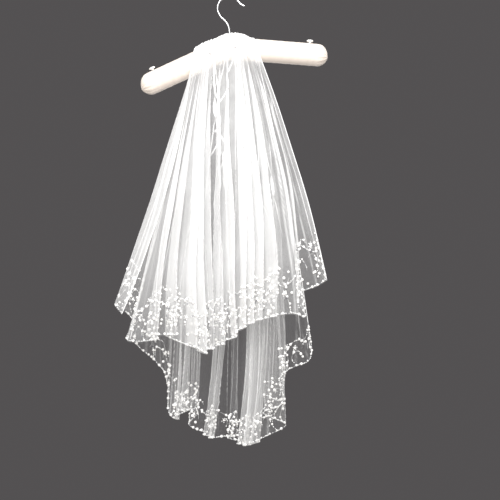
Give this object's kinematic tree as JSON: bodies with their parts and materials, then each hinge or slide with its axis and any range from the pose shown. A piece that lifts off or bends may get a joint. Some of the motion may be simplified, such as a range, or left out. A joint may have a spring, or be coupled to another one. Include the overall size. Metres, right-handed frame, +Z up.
{
  "type": "two-tier bridal veil on a padded hanger",
  "caption": "Two-tier tulle bridal veil with pearl-beaded hems, gathered over a padded satin clothes hanger with a wire hook.",
  "frame": {"origin": "hanging point, inside the top of the wire hook's loop", "axes": "+Z up, the front of the veil faces -Y, +X to the viewer's right"},
  "size_m": [0.4318, 0.1434, 0.923],
  "materials": {
    "tulle": "sheer white net",
    "satin": "ivory satin",
    "wire": "polished",
    "pearl": "pearl gloss"
  },
  "bodies": {
    "root": {"upper_tier": "tulle", "lower_tier": "tulle", "padded_bar": "satin", "hook": "wire", "knob_left": "pearl", "knob_right": "pearl"}
  },
  "joints": []
}
